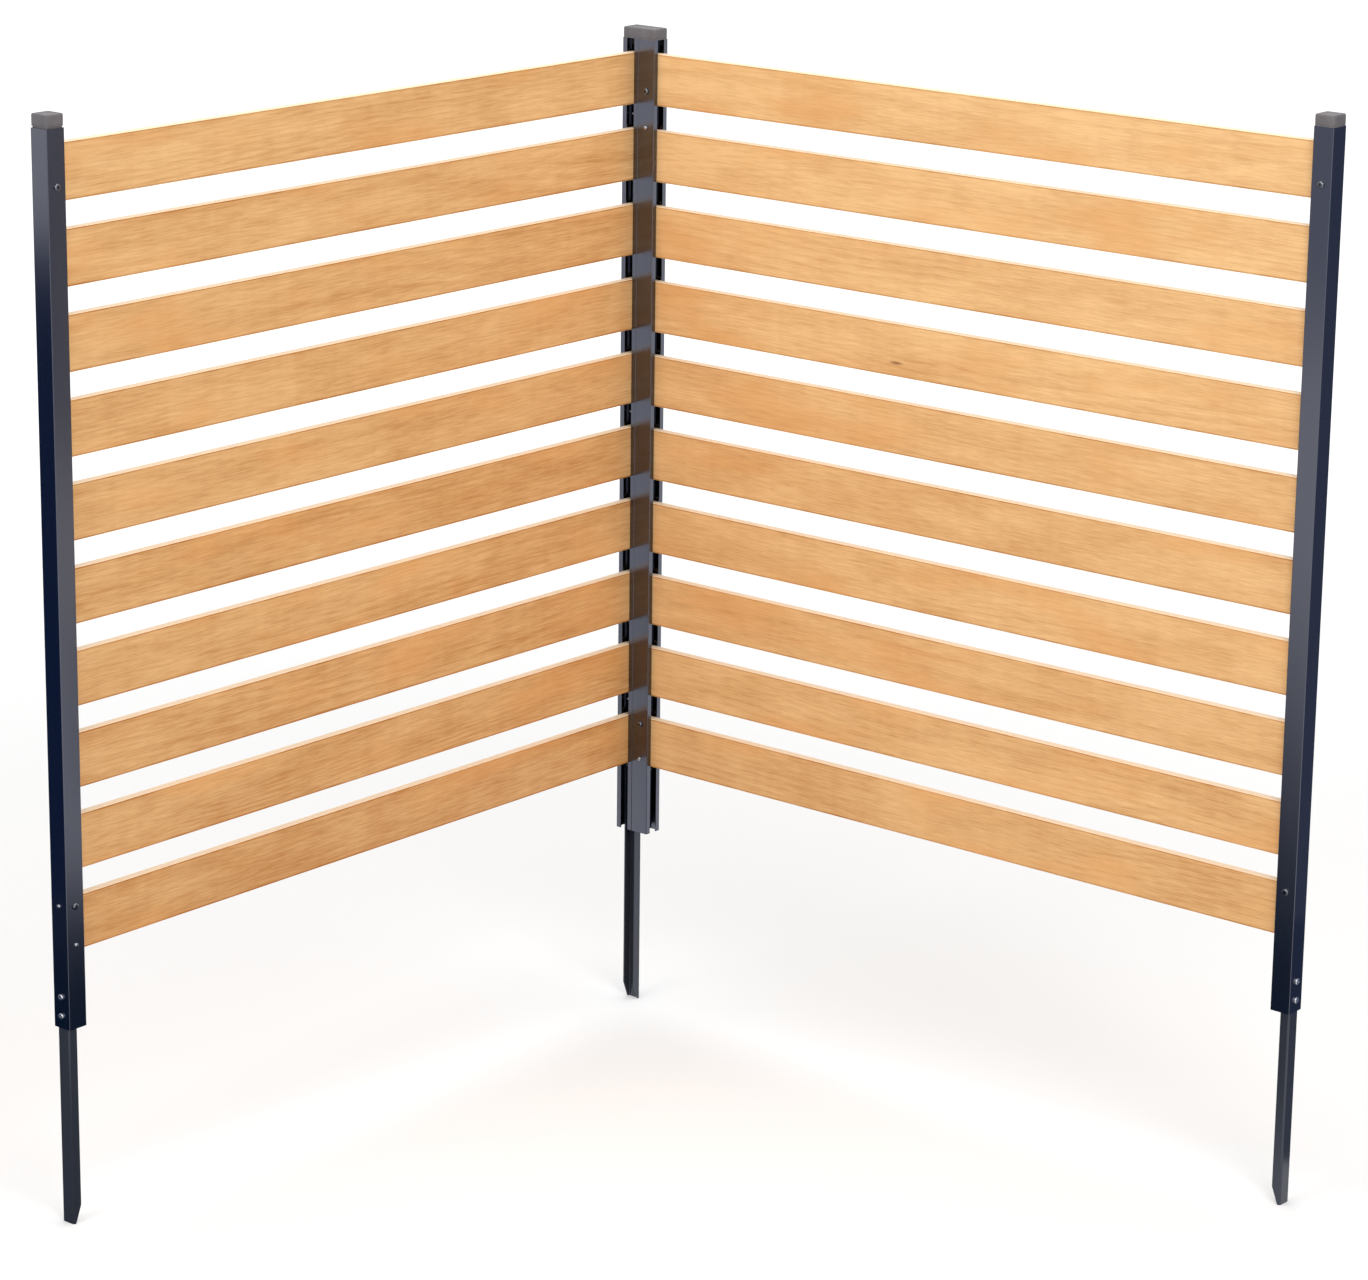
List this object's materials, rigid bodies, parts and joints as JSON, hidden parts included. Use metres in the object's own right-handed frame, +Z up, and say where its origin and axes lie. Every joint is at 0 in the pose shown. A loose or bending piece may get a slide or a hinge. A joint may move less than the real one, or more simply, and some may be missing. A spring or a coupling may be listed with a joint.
{
  "type": "garden privacy screen",
  "caption": "L-shaped garden screen of horizontal wooden slats held in slotted aluminium posts, with plastic caps and steel ground stakes.",
  "frame": {"origin": "centre of the plan on the ground plane, at the level of the stakes' tips", "axes": "+Z up; the corner is at -X +Y, the right panel runs along +X and the left panel along -Y, so the inside of the corner faces +X -Y"},
  "size_m": [1.212, 1.182, 1.5085],
  "materials": {
    "wood": "planed softwood with an oiled honey finish",
    "anodised_aluminium": "dark anthracite anodised extrusion, satin",
    "cap_plastic": "moulded warm grey plastic",
    "galvanised_steel": "folded sheet, dull dark zinc",
    "comb_plastic": "black moulded plastic",
    "screw_steel": "bright stainless"
  },
  "bodies": {
    "root": {"corner_cap": "cap_plastic", "corner_joining_screws": "screw_steel", "corner_stake": "galvanised_steel", "corner_stake_bolts": "screw_steel", "corner_stake_nuts": "screw_steel", "left_corner_comb": "comb_plastic", "left_corner_post": "anodised_aluminium", "left_corner_slat_screws": "screw_steel", "left_end_cap": "cap_plastic", "left_end_comb": "comb_plastic", "left_end_grain_screw": "screw_steel", "left_end_lock_screw": "screw_steel", "left_end_post": "anodised_aluminium", "left_end_slat_screws": "screw_steel", "left_slat_01": "wood", "left_slat_02": "wood", "left_slat_03": "wood", "left_slat_04": "wood", "left_slat_05": "wood", "left_slat_06": "wood", "left_slat_07": "wood", "left_slat_08": "wood", "left_slat_09": "wood", "left_slat_10": "wood", "left_stake": "galvanised_steel", "left_stake_bolts": "screw_steel", "left_stake_nuts": "screw_steel", "right_corner_comb": "comb_plastic", "right_corner_lock_screws": "screw_steel", "right_corner_post": "anodised_aluminium", "right_corner_slat_screws": "screw_steel", "right_end_cap": "cap_plastic", "right_end_comb": "comb_plastic", "right_end_post": "anodised_aluminium", "right_end_slat_screws": "screw_steel", "right_slat_01": "wood", "right_slat_02": "wood", "right_slat_03": "wood", "right_slat_04": "wood", "right_slat_05": "wood", "right_slat_06": "wood", "right_slat_07": "wood", "right_slat_08": "wood", "right_slat_09": "wood", "right_slat_10": "wood", "right_stake": "galvanised_steel", "right_stake_bolts": "screw_steel", "right_stake_nuts": "screw_steel"}
  },
  "joints": []
}
